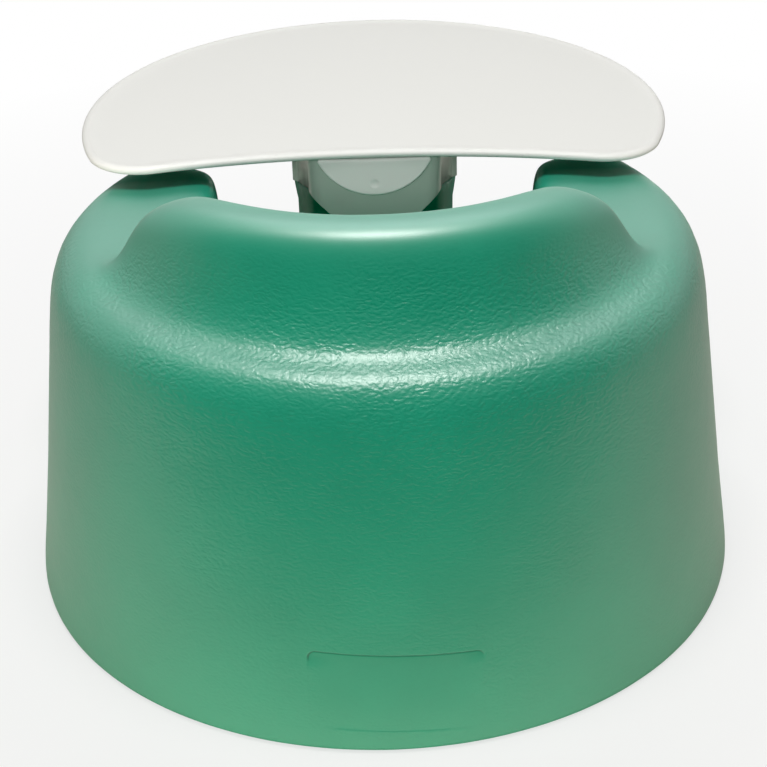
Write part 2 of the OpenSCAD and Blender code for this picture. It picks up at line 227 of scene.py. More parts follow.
# The same plastic from a polished mould. Its colour, greyer and greener than the tray's, is painted
# shade from the tray above and painted green bounce light; its gloss mirrors the green foam beside
# it
def bracket_material():
    material, tree, principled = new_material(
        "polished_polypropylene_grey", Base_Color=linear("#A9B6AB"), Roughness=0.18, IOR=1.49)
    coords = add(tree, "ShaderNodeTexCoord").outputs["Object"]
    waves = add(tree, "ShaderNodeTexNoise", {"Scale": 1 / (12 * MM), "Detail": 1.0},
                Vector=coords).outputs["Fac"]
    dull = add(tree, "ShaderNodeMapRange", {1: 0.3, 2: 0.7, 3: 0.14, 4: 0.22},
               in0=waves).outputs["Result"]
    tree.links.new(dull, principled.inputs["Roughness"])
    bump = add(tree, "ShaderNodeBump", {"Strength": 0.15, "Distance": 0.05 * MM},
               Height=waves).outputs["Normal"]
    tree.links.new(bump, principled.inputs["Normal"])
    return material


# ---- Foam seat ----

BASE_R = 190
WALL_LEAN = 0.126
ARM_H = 192
BACK_H = 241
BACK_R = 101
HIP_R = 84
ARM_REACH = 84
BOWL_H = 68
LEG_H = 107
LEG_ANGLE = 51
WING_ANGLE = 103
HORN_H = 187.5
HORN_HW = 47
HORN_REAR = 69
HORN_FRONT = 127
SHOULDER_DROP = 17
FLANK_PINCH = 2.6


def wall_r(z):
    """Radius of the leaning wall at a height."""
    return BASE_R - WALL_LEAN * z


RIM_R = wall_r(ARM_H - SHOULDER_DROP)
OUTER_R = wall_r(LEG_H + 36)
INNER_R = (HIP_R + HORN_REAR) / 2
WALL_FOOT_Z = BOWL_H + 44


# Sections of the moulding, as radius and height from the foot outside to the bowl's middle. They
# all have the same number of rows, so that one can be mixed into the next.

def foot_rows(top):
    steps = [mix(4, top, k) for k in (0.2, 0.45, 0.68, 0.845)]
    return [[BASE_R - 4, 0], [BASE_R - 0.5, 0], [BASE_R + 0.6, 4]] + [[wall_r(z), z] for z in steps]


def hollow_rows(rise):
    return [[HIP_R * 0.4, BOWL_H + rise], [0, BOWL_H]]


def arm_section():
    h, r = ARM_H, HIP_R
    top = [(0, h - 4.5), (0.12, h - 1), (0.2, h - 0.2), (0.26, h + 0.1), (0.33, h + 0.2), (0.42, h),
           (0.6, h), (1, h)]
    inside = [[r + 0.5, h - 1.5], [r - 0.5, h - 22], [r - 3, WALL_FOOT_Z], [r - 18, BOWL_H + 13]]
    return foot_rows(h - SHOULDER_DROP) + [[RIM_R, h - 17]] + \
        [[mix(RIM_R - 9, r + 14, k), z] for k, z in top] + inside + hollow_rows(3)


def back_section():
    a, h, r = ARM_H, BACK_H, BACK_R
    shoulder = [(RIM_R - 8.7, a - 6), (r + 48, a - 4.5), (r + 39.5, a - 0.5)]
    scoop = [(r + 33.5, a + 12), (r + 29.5, mix(a, h, 0.55)), (r + 26, h - 5)]
    lip = [(r + 16, h + 1.5), (r - 3, h + 0.5), (r - 10, h - 13)]
    inside = [(r - 16, h - 66), (r - 25, WALL_FOOT_Z), (r - 41, BOWL_H + 16)]
    return foot_rows(a - SHOULDER_DROP) + [[RIM_R, a - 17]] + \
        [list(p) for p in shoulder + scoop + lip + inside] + hollow_rows(4)


def leg_section():
    h, out = LEG_H, wall_r(LEG_H)
    channel = [(0.06, 2), (0.12, 0.5), (0.17, 0), (0.22, 0), (0.27, 0.5), (0.32, 1.5), (0.39, 3),
               (0.49, 6), (0.62, 11), (0.77, 16), (0.95, 22)]
    return foot_rows(h - 6) + [[out + 1, h - 6]] + \
        [[mix(out, INNER_R, k), h - drop] for k, drop in channel] + \
        [[INNER_R - 14, BOWL_H + 12]] + hollow_rows(3)


def horn_section():
    h, f, r, low, up = HORN_H, HORN_FRONT, HORN_REAR, LEG_H + 10, HORN_H - 26
    return foot_rows(low) + \
        [[wall_r(low) - 2, low], [mix(wall_r(low), f + 19, 0.38), mix(low, up, 0.37)],
         [mix(wall_r(low), f + 19, 0.69), mix(low, up, 0.7)], [f + 19, up], [f + 11, h - 14],
         [f + 1, h - 4.5], [f - 10, h - 0.3], [f - 24, h + 0.3], [r + 16, h - 1.7],
         [r + 2.5, h - 11], [r, h - 39], [r - 1.5, WALL_FOOT_Z], [r - 12, BOWL_H + 15]] + \
        hollow_rows(3)


FLANK_OUT = math.degrees(math.asin(HORN_HW / OUTER_R)) + 2
FLANK_IN = math.degrees(math.asin((HORN_HW - 12) / INNER_R)) + 0.3
REACH_ANGLE = math.degrees(math.atan(HIP_R / ARM_REACH))


def half_columns():
    """Round half of the seat: angle outside, angle inside, leg share, horn share, back share."""
    horn = [((FLANK_OUT - 3.4) * k, (FLANK_IN - 4) * k, 0, 1, 0) for k in (0, 0.42, 0.76)]
    flank = [
        (FLANK_OUT - 2.8, FLANK_IN - 3.6, 0, 1, 0),
        (FLANK_OUT - 1, FLANK_IN - 1, 0.07, 0.93, 0),
        (FLANK_OUT - FLANK_PINCH * 0.8, FLANK_IN - 1, 0.25, 0.75, 0),
        (FLANK_OUT - FLANK_PINCH, FLANK_IN - 1, 0.55, 0.45, 0),
        (FLANK_OUT - FLANK_PINCH * 0.5, FLANK_IN, 0.88, 0.12, 0)]
    leg = [(mix(FLANK_OUT, LEG_ANGLE, k), mix(FLANK_IN, REACH_ANGLE, k), 1, 0, 0)
           for k in (0.12, 0.34, 0.56, 0.77)]
    arm_end = [
        (LEG_ANGLE - 2, REACH_ANGLE - 0.8, 0.88, 0, 0),
        (LEG_ANGLE + 0.5, REACH_ANGLE, 0.55, 0, 0),
        (LEG_ANGLE + 0.5, REACH_ANGLE, 0.22, 0, 0),
        (LEG_ANGLE + 1.5, REACH_ANGLE + 1, 0.05, 0, 0),
        (LEG_ANGLE + 5, REACH_ANGLE + 5, 0, 0, 0)]
    arm = [(mix(LEG_ANGLE + 11, WING_ANGLE, k), mix(REACH_ANGLE + 14, WING_ANGLE, k), 0, 0, 0)
           for k in (0, 0.25, 0.55, 0.83)]
    wing = [(0, 0), (0.05, 0.02), (0.09, 0.1), (0.122, 0.28), (0.16, 0.55), (0.205, 0.73),
            (0.27, 0.835), (0.375, 0.905), (0.54, 0.955), (0.75, 0.985), (1, 1)]
    back = [(mix(WING_ANGLE, 180, k),) * 2 + (0, 0, share) for k, share in wing]
    return horn + flank + leg + arm_end + arm + back


# How far each control row of the hollow follows its straight sides
STRETCH = {13: 0.2, 14: 0.4, 15: 0.75, 16: 1, 17: 1, 18: 1, 19: 0.6}


def column_rows(column):
    """Control points of one column: angle, radius, height, the back's share and the horn's."""
    outside, inside, leg, horn, back = column
    arm = 1 - leg - horn - back
    sections = (arm_section(), leg_section(), horn_section(), back_section())
    rows = sum(np.array(s, float) * share for s, share in zip(sections, (arm, leg, horn, back)))
    # the hollow is round at the back, straight beside the hips and straight across the horn
    stretch = 0
    if inside < 90:
        turn = math.radians(inside)
        beside = 1 / max(math.sin(turn), math.sin(math.radians(REACH_ANGLE))) - 1
        stretch = beside * (arm + leg * 0.4) + (1 / math.cos(turn) - 1) * horn
    depth = np.array([STRETCH.get(i, 0) for i in range(len(rows))])
    r = rows[:, 0] * (1 + depth * stretch)
    inward = np.clip((OUTER_R - r) / (OUTER_R - INNER_R), 0, 1)
    fan = np.clip((INNER_R - r) / INNER_R, 0, 1)
    angle = mix(mix(outside, inside, inward), (outside + inside) / 2, fan)
    shares = np.tile([back, horn], (len(rows), 1))
    return np.column_stack([angle, r, rows[:, 1], shares])


def control_net():
    """Control points all round, with three columns more so that the spline closes."""
    half = np.array([column_rows(c) for c in half_columns()])
    ring = np.concatenate([half[1:-1][::-1] * (-1, 1, 1, 1, 1), half])
    net = np.concatenate([ring, ring[:3] + (360, 0, 0, 0, 0)])
    return np.concatenate([net[:, :1], net[:, :1], net, net[:, -1:], net[:, -1:]], axis=1)


def placed(grid):
    """Angle, radius and height as x, y and z; the front is at angle 0, towards -Y."""
    a = np.radians(grid[..., 0])
    return np.stack([grid[..., 1] * np.sin(a), -grid[..., 1] * np.cos(a), grid[..., 2]], -1)


def spaced(curve_of, spans, finest):
    """Parameters whose points on a curve come at most finest(point) apart."""
    dense = np.linspace(0, spans, 6001)
    curve = curve_of(dense)
    steps = np.linalg.norm(np.diff(curve, axis=0), axis=1) / finest(curve[:-1])
    run = np.concatenate([[0], np.cumsum(steps)])
    return np.interp(np.arange(int(run[-1]) + 1) * run[-1] / (int(run[-1]) + 1), run, dense)


# Shallow bare recess low on the back wall
RECESS_X = -4.1
RECESS_TILT = 0.04
RECESS_HW = 41.6
RECESS_LOW = 12
RECESS_HIGH = 52.2
RECESS_CORNER = 4
RECESS_DEPTH = 0.7
CREASE_DEPTH = 0.3


def recess_edge(x, z):
    """Distance outside the recess's rounded outline, negative inside it."""
    mid, half_h = (RECESS_HIGH + RECESS_LOW) / 2, (RECESS_HIGH - RECESS_LOW) / 2
    dx = np.abs(x - RECESS_X) - (RECESS_HW - RECESS_CORNER)
    dz = np.abs(z - RECESS_TILT * (x - RECESS_X) - mid) - (half_h - RECESS_CORNER)
    past_corner = np.hypot(np.maximum(dx, 0), np.maximum(dz, 0))
    return past_corner + np.minimum(np.maximum(dx, dz), 0) - RECESS_CORNER


def recess_depth(x, z):
    """How deep the recess is: crisp at its top edge, fading to the sides, faint at the bottom."""
    top_share = mix(0.3, 1, smoothstep(RECESS_LOW, RECESS_HIGH - 4, z))
    from_side = smoothstep(0, 15, RECESS_HW - np.abs(x - RECESS_X))
    side_share = mix(from_side, 1, smoothstep(RECESS_HIGH - 8, RECESS_HIGH, z))
    return RECESS_DEPTH * smoothstep(0.3, -0.3, recess_edge(x, z)) * top_share * side_share


def recess_groove(x, z):
    """The narrow crease along the recess's top edge and round its top corners."""
    near_top = mix(0.05, 1, smoothstep(RECESS_HIGH - 4.5, RECESS_HIGH - 1.5, z))
    return smoothstep(0.6, 0.1, np.abs(recess_edge(x, z) + 0.1)) * near_top


# Rows of the loft, counted in spans from the foot, over the top and down into the hollow
FOOT_END = 2.2
WALL_END = 8
WRINKLE_END_ARM = 9.6
WRINKLE_END_BACK = 13.4
DULL_FROM = 15.6
DULL_FULL = 17.2
HOLLOW_START = 17
BOWL_FROM = 18.6
BOWL_FULL = 20.4

# How far apart the skin's points are in millimetres, closer along edges that have to be crisp
SKIN_STEP = 2.1
HOLLOW_STEP = 3.0
HORN_STEP = 1.5
CORNER_STEP = 0.5
CREASE_STEP = 0.3
BACK_WALL_Y = 150


def seat_grid():
    """Points all over the skin: columns round the seat, rows from the foot into the hollow."""
    net = control_net()
    columns_in, rows_in = net.shape[:2]
    back = columns_in - 4

    def down_the_back(at):
        rows = np.einsum("ur,rc->uc", spline_weights(rows_in, at), net[back])
        return placed(rows)

    def round_the_seat(at):
        return placed(np.einsum("uc,cr->ur", spline_weights(columns_in, at), net[:, 6]))

    def row_step(points):
        y, z = points[:, 1], points[:, 2]
        at_edge = (np.abs(z - RECESS_HIGH + 1.2) < 3.6) | (np.abs(z - RECESS_LOW) < 1.2)
        inner = np.where(y < 90, HOLLOW_STEP, SKIN_STEP)
        return np.where(at_edge & (y > BACK_WALL_Y), CREASE_STEP, inner)

    def column_step(points):
        x, y = points[:, 0], points[:, 1]
        at_corner = (y > 0) & (np.abs(np.abs(x - RECESS_X) - RECESS_HW + 1.5) < 4)
        at_horn = (y < -140) & (np.abs(x) < 75)
        plain = np.where(at_horn, HORN_STEP, SKIN_STEP)
        return np.where(at_corner, CORNER_STEP, plain)

    rows = np.append(spaced(down_the_back, rows_in - 3, row_step)[:-1], rows_in - 3 - 0.02)
    columns = spaced(round_the_seat, columns_in - 3, column_step)
    grid = np.einsum("uc,crk->urk", spline_weights(columns_in, columns), net)
    return np.einsum("vr,urk->uvk", spline_weights(rows_in, rows), grid), rows


# The front columns, as far round as this angle in radians, are straightened below these heights
FRONT_TURN = 1.1
STRAIGHT_FROM_Z = 103
STRAIGHT_FULL_Z = 93
EVEN_SHARE = 0.06
BOWL_PASSES = 160


def unfolded(points, rows):
    """Straightens the columns beside the horn, which double back below the leg openings."""
    angle = np.arctan2(points[..., 0], -points[..., 1])
    front = np.flatnonzero(np.abs(angle[:, 0]) < FRONT_TURN)
    turn = angle[front]
    highest = np.maximum.accumulate(turn, 0)
    lowest = np.minimum.accumulate(turn[::-1], 0)[::-1]
    even = np.linspace(0, 1, len(front))[:, None] * (turn[-1] - turn[0]) + turn[0]
    steady = mix((highest + lowest) / 2, even, EVEN_SHARE)
    low = smoothstep(STRAIGHT_FROM_Z, STRAIGHT_FULL_Z, points[front, :, 2])
    turn = mix(turn, steady, low * ((rows < WALL_END) | (rows > HOLLOW_START)))
    radius = np.hypot(points[front, :, 0], points[front, :, 1])
    result = points.copy()
    result[front, :, 0] = radius * np.sin(turn)
    result[front, :, 1] = -radius * np.cos(turn)
    # the horn's foot runs out softly into the bowl
    soft = result.copy()
    for _ in range(BOWL_PASSES):
        soft = (np.roll(soft, 1, 0) + 2 * soft + np.roll(soft, -1, 0)) / 4
    return mix(result, soft, smoothstep(BOWL_FROM, BOWL_FULL, rows)[None, :, None])


def skin_normals(points):
    """Outward normals of a grid of points that closes along its columns."""
    round_way = np.roll(points, -1, 0) - np.roll(points, 1, 0)
    down_way = np.gradient(points, axis=1)
    normal = np.cross(round_way, down_way)
    length = np.linalg.norm(normal, axis=-1, keepdims=True)
    return normal / np.maximum(length, 1e-9)


def noise_field(points, scale, seed):
    """A smooth noise from -1 to 1 at each point, with bumps about scale millimetres wide."""
    flat = (points / scale).reshape(-1, 3)
    values = [noise.noise(Vector(p) + Vector((seed, 2 * seed, 3 * seed))) for p in flat.tolist()]
    return np.array(values).reshape(points.shape[:-1])


# Sizes of the bracket that the horn's flanks are cut back for
WALL_T = 2.8
FOAM_GAP = 0.5
FIT_GAP = 0.3
WELL_DEPTH = 10
TRAY_REAR = 60
TAB_T = 2.6
PANEL_HW = 37
PANEL_Y = -TRAY_REAR - 0.6 - TAB_T - 0.9
DECK_Z = HORN_H + FOAM_GAP
COLLAR_Z = DECK_Z + WALL_T + WELL_DEPTH
STEP_Y = mix(-HORN_REAR, -HORN_FRONT, 0.74)
STEP = 3
REAR_ROUND = 9
FRONT_ROUND = 7
COLLAR_FRONT = -HORN_FRONT - 17
COLLAR_HW = HORN_HW + 0.4
FLANK_TURN = math.degrees(math.atan2(COLLAR_HW - STEP - PANEL_HW, PANEL_Y - REAR_ROUND - STEP_Y))
PANEL_LOW = DECK_Z - 38
FLANK_REAR_LOW = DECK_Z - 9.5
FLANK_STEP_LOW = DECK_Z - 22
FRONT_LOW = DECK_Z - 16
PANEL_TIP_HW = 10


def arc(x, y, r, start, end, n, last=0):
    """Points of an arc in n steps between two angles in degrees, with its end if last is 1."""
    a = np.radians(mix(start, end, np.arange(n + last) / n))
    return np.column_stack([x + r * np.cos(a), y + r * np.sin(a)])


def collar_half(d):
    """Right half of the bracket's plan, from the rear to the front, drawn in by d."""
    return np.concatenate([
        arc(PANEL_HW - REAR_ROUND, PANEL_Y - REAR_ROUND, REAR_ROUND - d, 90, FLANK_TURN, 10, 1),
        [[COLLAR_HW - STEP - d, STEP_Y], [COLLAR_HW - d, STEP_Y - STEP]],
        arc(COLLAR_HW - FRONT_ROUND, COLLAR_FRONT + FRONT_ROUND, FRONT_ROUND - d, 0, -90, 10, 1)])


FLANK_EDGE = [(PANEL_Y - REAR_ROUND, FLANK_REAR_LOW), (STEP_Y, FLANK_STEP_LOW),
              (STEP_Y - STEP, FLANK_STEP_LOW), (COLLAR_FRONT + FRONT_ROUND, FRONT_LOW)]


def flank_low(y):
    """Height of the flanks' lower edge at y."""
    ys, zs = np.array(FLANK_EDGE[::-1]).T
    return np.interp(y, ys, zs)


def core_half_width(y):
    """How far out the foam may reach at y under the bracket."""
    half = collar_half(WALL_T + FOAM_GAP)[::-1]
    return np.interp(y, half[:, 1], half[:, 0])


def cut_flanks(mesh):
    """Cuts the horn's flanks back under the bracket, with a clean ledge along its lower edge."""
    bm = bmesh.new()
    bm.from_mesh(mesh)
    bm.transform(Matrix.Scale(1 / MM, 4))
    ends = [(PANEL_Y + 1, FLANK_REAR_LOW)] + FLANK_EDGE + [(COLLAR_FRONT - 1, FRONT_LOW)]
    for (y0, z0), (y1, z1) in zip(ends, ends[1:]):
        direction = Vector((0, y1 - y0, z1 - z0)).normalized()
        across = Vector((1, 0, 0)).cross(direction)
        for rise in (-FOAM_GAP, -FOAM_GAP + 0.25):
            near = [f for f in bm.faces if all(
                y1 - 4 < v.co.y < y0 + 4 and v.co.z > 150 and 15 < abs(v.co.x) < HORN_HW + 8
                for v in f.verts)]
            parts = set(near)
            parts |= {e for f in near for e in f.edges} | {v for f in near for v in f.verts}
            bmesh.ops.bisect_plane(bm, geom=list(parts), dist=1e-4,
                                   plane_co=(0, y0, z0 + rise), plane_no=across)
    for v in bm.verts:
        x, y, z = v.co
        on_horn = COLLAR_FRONT - 1 < y < PANEL_Y + 1 and abs(x) < HORN_HW + 8
        if on_horn and z > flank_low(y) - FOAM_GAP + 0.2:
            v.co.x = math.copysign(min(abs(x), float(core_half_width(y))), x)
    bm.transform(Matrix.Scale(MM, 4))
    bm.to_mesh(mesh)
    bm.free()


# Heights on the horn's flanks, and how far they draw in at each
FLANK_DRAW_Z = (108, 127, 143, 156)
FLANK_DRAW_IN = (0, 3.6, 1.5, 0)


def flanks_drawn_in(points, horn):
    """The seat's points with the horn's flanks drawn in below the bracket."""
    x, y, z = np.moveaxis(points, -1, 0)
    on_flank = (y < -95) & (np.abs(x) < 58) & (z > FLANK_DRAW_Z[0])
    draw_in = np.interp(z, FLANK_DRAW_Z, FLANK_DRAW_IN) * on_flank * horn
    drawn = points.copy()
    drawn[..., 0] -= np.sign(x) * draw_in * smoothstep(20, 40, np.abs(x))
    return drawn


def wrinkle_mask(points, rows, back, horn):
    """How wrinkled the skin is: outside only, up to the armrests' tops and the lip."""
    z = points[..., 2]
    ends_at = mix(WRINKLE_END_ARM, WRINKLE_END_BACK, back)
    mask = smoothstep(0.9, -0.9, rows[None, :] - ends_at) * (1 - horn)
    return mask * mix(0.45, 1, smoothstep(105, 160, z)) * smoothstep(2, 14, z)


def dull_and_shade_mask(points, rows, normals):
    """How dull the skin is: in the hollow, and as painted shade on the armrests' ends and the
    horn's flanks.
    """
    x, y, z = np.moveaxis(points, -1, 0)
    hollow = smoothstep(DULL_FROM, DULL_FULL, rows)[None, :]
    # painted shade: the armrests' ends under the tray lose their shine
    tops = smoothstep(-46, -60, y) * smoothstep(0.35, 0.7, normals[..., 2])
    tops = tops * smoothstep(150, 176, z) * smoothstep(58, 70, np.abs(x))
    # painted shade: the horn's flanks under the tray lose their shine
    flanks = (np.abs(x) < 60) * smoothstep(0.45, 0.8, np.abs(normals[..., 0]))
    flanks = flanks * smoothstep(115, 140, z) * (y < -60)
    return np.maximum(np.maximum(hollow, flanks), tops)


def foam_seat(material):
    """The whole foam moulding as one closed skin, with masks for wrinkles, gloss and crease, the
    last two partly painted shade.
    """
    grid, rows = seat_grid()
    back, horn = grid[..., 3], grid[..., 4]
    points = flanks_drawn_in(unfolded(placed(grid), rows), horn)
    normals = skin_normals(points)
    x, y, z = np.moveaxis(points, -1, 0)
    on_back = y > BACK_WALL_Y
    groove = np.where(on_back, recess_groove(x, z), 0)
    recess = np.where(on_back, recess_depth(x, z), 0) + CREASE_DEPTH * groove
    wrinkled = wrinkle_mask(points, rows, back, horn)
    wrinkled = wrinkled * (1 - 0.9 * np.clip(recess / RECESS_DEPTH * 2, 0, 1))
    inside = dull_and_shade_mask(points, rows, normals)
    # slow unevenness of a foam skin, as two noises of 16 and 7 mm
    uneven = noise_field(points, 16, 1.3) * 0.16
    uneven = uneven + noise_field(points * (1, 1, FLATTEN), 7, 4.1) * 0.09
    free = (rows[None, :] > FOOT_END) & (rows[None, :] < rows[-1] - 2)
    out = uneven * free * (0.35 + 0.65 * wrinkled) - recess
    moved = points + normals * out[..., None]
    moved[..., 2] = np.where(free, moved[..., 2], z)
    columns, count = moved.shape[:2]
    middle = columns * count
    verts = np.concatenate([moved.reshape(-1, 3), [[0, 0, BOWL_H]]])
    faces = [list(f) for f in grid_faces(columns, count)]
    faces += [[i * count + count - 1, middle, ((i + 1) % columns) * count + count - 1]
              for i in range(columns)]
    faces.append([i * count for i in range(columns)])
    piece = mesh_piece("foam_seat_skin", verts, faces, material)
    # the groove mask also darkens the colour along the crease as painted shade
    for name, values, last in (
            ("wrinkled", wrinkled, 0), ("inside", inside, 1), ("groove", groove, 0)):
        mask = piece.data.attributes.new(name, "FLOAT", "POINT")
        mask.data.foreach_set("value", np.append(values.reshape(-1), last).astype(np.float32))
    cut_flanks(piece.data)
    # the flat base is shaded flat
    for face in piece.data.polygons:
        if len(face.vertices) > 4 and abs(face.normal.z) > 0.99 and face.center.z < MM:
            face.use_smooth = False
    return piece


# ---- Play tray ----

TRAY_R = 165
TRAY_CORNER_R = 32
TRAY_REACH = 45
TRAY_WAIST = 15
TRAY_T = 3
BEAD_HW = 3.5
BEAD_H = 0.8
BEAD_DROP = 0.9
TRAY_BOTTOM = COLLAR_Z + FIT_GAP
TRAY_TOP = TRAY_BOTTOM + TRAY_T
CORNER_Y = -(TRAY_REAR - TRAY_WAIST) - TRAY_CORNER_R
TRAY_Y = CORNER_Y - TRAY_REACH
CORNER_X = math.sqrt((TRAY_R - TRAY_CORNER_R) ** 2 - (CORNER_Y - TRAY_Y) ** 2)
WAIST_REACH = TRAY_CORNER_R + TRAY_REAR
WAIST_Y = (CORNER_X ** 2 + CORNER_Y ** 2 - WAIST_REACH ** 2) / (2 * (WAIST_REACH + CORNER_Y))
WAIST_R = WAIST_Y + TRAY_REAR
CORNER_START = math.degrees(math.atan2(CORNER_Y - TRAY_Y, CORNER_X))
CORNER_END = math.degrees(math.atan2(WAIST_Y - CORNER_Y, -CORNER_X))


def tray_outline(d):
    """Outline drawn in by d: two round corners, a hollow waist and a round front, all tangent."""
    return np.concatenate([
        arc(CORNER_X, CORNER_Y, TRAY_CORNER_R - d, CORNER_START, CORNER_END, 60),
        arc(0, WAIST_Y, WAIST_R + d, CORNER_END - 180, -CORNER_END, 120),
        arc(-CORNER_X, CORNER_Y, TRAY_CORNER_R - d, 180 - CORNER_END, 180 - CORNER_START, 60),
        arc(0, TRAY_Y, TRAY_R - d, 180 - CORNER_START, 360 + CORNER_START, 260)])


def rim_profile():
    """Section of the rim, from the underside round the bead to the top face."""
    mid = (TRAY_BOTTOM - BEAD_DROP + TRAY_TOP + BEAD_H) / 2
    half_h = (TRAY_T + BEAD_DROP + BEAD_H) / 2
    turn = np.radians(np.linspace(-118, 118, 33))
    bead = np.column_stack([BEAD_HW * (1 - np.cos(turn)), mid + half_h * np.sin(turn)])
    top_foot = [[BEAD_HW * k, TRAY_TOP + rise]
                for k, rise in ((1.75, 0.32), (2.2, 0.14), (2.8, 0.03), (3.4, 0), (4.0, 0))]
    low_foot = [[BEAD_HW * k, TRAY_BOTTOM - drop] for k, drop in ((2.6, 0), (1.9, 0), (1.68, 0.12))]
    return np.concatenate([low_foot, bead, top_foot])


def swept(outline_of, profile):
    """A profile swept round an outline: its points and quads, and how many run each way."""
    rings = []
    for d, z in profile:
        plan = outline_of(d)
        rings.append(np.column_stack([plan, np.full(len(plan), z)]))
    points = np.stack(rings, axis=1)
    count, rows = points.shape[:2]
    return points.reshape(-1, 3), [list(f) for f in grid_faces(count, rows)], count, rows


def collar_outline(d):
    half = collar_half(d)
    return np.concatenate([half, (half * (-1, 1))[::-1]])


# Rim under the tray that drops into the bracket's well
SOCKET_WALL = 2
SOCKET_DROP = 4


def tray_plate(material):
    """The kidney-shaped plate with its raised bead, and the rim under it."""
    points, faces, count, rows = swept(tray_outline, rim_profile())
    faces.append([i * rows for i in range(count)])
    faces.append([i * rows + rows - 1 for i in range(count)][::-1])
    low = TRAY_BOTTOM - SOCKET_DROP
    section = [(0, TRAY_BOTTOM + 0.5), (0, low + 0.6), (0.18, low + 0.18), (0.6, low),
               (SOCKET_WALL - 0.6, low), (SOCKET_WALL - 0.18, low + 0.18), (SOCKET_WALL, low + 0.6),
               (SOCKET_WALL, TRAY_BOTTOM + 0.5)]
    profile = [(WALL_T + FIT_GAP + d, z) for d, z in section]
    rim, rim_faces, rim_count, rim_rows = swept(collar_outline, profile)
    for i in range(rim_count):
        here, there = i * rim_rows, (i + 1) % rim_count * rim_rows
        rim_faces.append([here, here + rim_rows - 1, there + rim_rows - 1, there])
    start = len(points)
    faces += [[start + v for v in f] for f in rim_faces]
    return mesh_piece("tray_plate", np.concatenate([points, rim]), faces, material, 40)


# ---- Tab behind the tray ----

TAB_R = 34
TAB_DROP = 20
TAB_AXIS_Z = TRAY_BOTTOM - BEAD_DROP - FIT_GAP - TAB_T / 2
TAB_AXIS_Y = -TRAY_REAR - 0.6 - TAB_T / 2
TAB_LOW = TAB_AXIS_Z - TAB_DROP
TAB_EDGE_R = 1.25
ROLL_R = TAB_T / 2 + 0.1
DETENT_R = 11
DETENT_UP = 7
DETENT_DEPTH = 0.3
TAB_COLUMNS = 121
TAB_ROWS = 40


def tab_plate(material):
    """A segment of a disc that hangs from a rolled edge, dimpled in front with a dome behind."""
    columns, rows = TAB_COLUMNS, TAB_ROWS
    spread = math.asin(math.sqrt(TAB_R ** 2 - (TAB_R - TAB_DROP) ** 2) / TAB_R)
    turn = np.linspace(-spread, spread, columns)
    x = TAB_R * np.sin(turn)
    low = TAB_LOW + TAB_R - TAB_R * np.cos(turn)
    # rows come closer together towards the lower edge, which is rounded
    z = low[:, None] + (TAB_AXIS_Z - low[:, None]) * np.linspace(0, 1, rows) ** 1.6
    xs = np.repeat(x[:, None], rows, 1)
    inset = TAB_R - np.hypot(xs, z - TAB_LOW - TAB_R)
    rounding = np.sqrt(np.clip(1 - (1 - np.clip(inset / TAB_EDGE_R, 0, 1)) ** 2, 0, 1))
    swell = smoothstep(TAB_AXIS_Z - 3.6, TAB_AXIS_Z, z) * (ROLL_R - TAB_T / 2)
    half_t = (TAB_T / 2 + swell) * rounding
    reach = (xs ** 2 + (z - TAB_LOW - DETENT_UP) ** 2) / (2 * DETENT_R)
    press = np.maximum(DETENT_DEPTH - reach, 0)
    front = TAB_AXIS_Y + half_t - press
    behind = TAB_AXIS_Y - half_t - press
    # one closed loop per column: up the front, over the roll, down behind
    roll = np.radians(np.linspace(0, 180, 13))[1:-1]
    over_y = TAB_AXIS_Y + ROLL_R * np.cos(roll) * rounding[:, -1:]
    over_z = TAB_AXIS_Z + ROLL_R * np.sin(roll) * rounding[:, -1:]
    loop = np.concatenate([
        np.stack([xs, front, z], -1),
        np.stack([np.repeat(x[:, None], len(roll), 1), over_y, over_z], -1),
        np.stack([xs, behind, z], -1)[:, ::-1]], axis=1)
    count = loop.shape[1]
    faces = [list(f) for f in grid_faces(columns, count, close_columns=False)]
    faces += [[i * count + count - 1, i * count, (i + 1) * count, (i + 1) * count + count - 1]
              for i in range(columns - 1)]
    faces.append(list(range(count)))
    faces.append([(columns - 1) * count + j for j in range(count)][::-1])
    return mesh_piece("clip_tab_plate", loop.reshape(-1, 3), faces, material, 50)


# ---- Bracket ----

BRACKET_EDGE_R = 0.7
BRACKET_STEP = 1.6
FILLET_R = 1.2


def bracket_outline(d):
    """The bracket's plan with its straight runs in short steps, so that its lower edge can bend."""
    corners = collar_outline(d)
    guide = collar_outline(0)
    points = []
    for i in range(len(corners)):
        k = (i + 1) % len(corners)
        n = max(1, int(np.linalg.norm(guide[k] - guide[i]) / BRACKET_STEP))
        points += [mix(corners[i], corners[k], j / n) for j in range(n)]
    return np.array(points)


def collar_low(outline):
    """Height of the bracket's lower edge at points of its outline."""
    x, y = np.abs(outline[:, 0]), outline[:, 1]
    panel = np.interp(x, [PANEL_TIP_HW, PANEL_HW - 0.5], [PANEL_LOW, FLANK_REAR_LOW])
    return np.where(y > PANEL_Y - REAR_ROUND + 0.01, panel, flank_low(y))


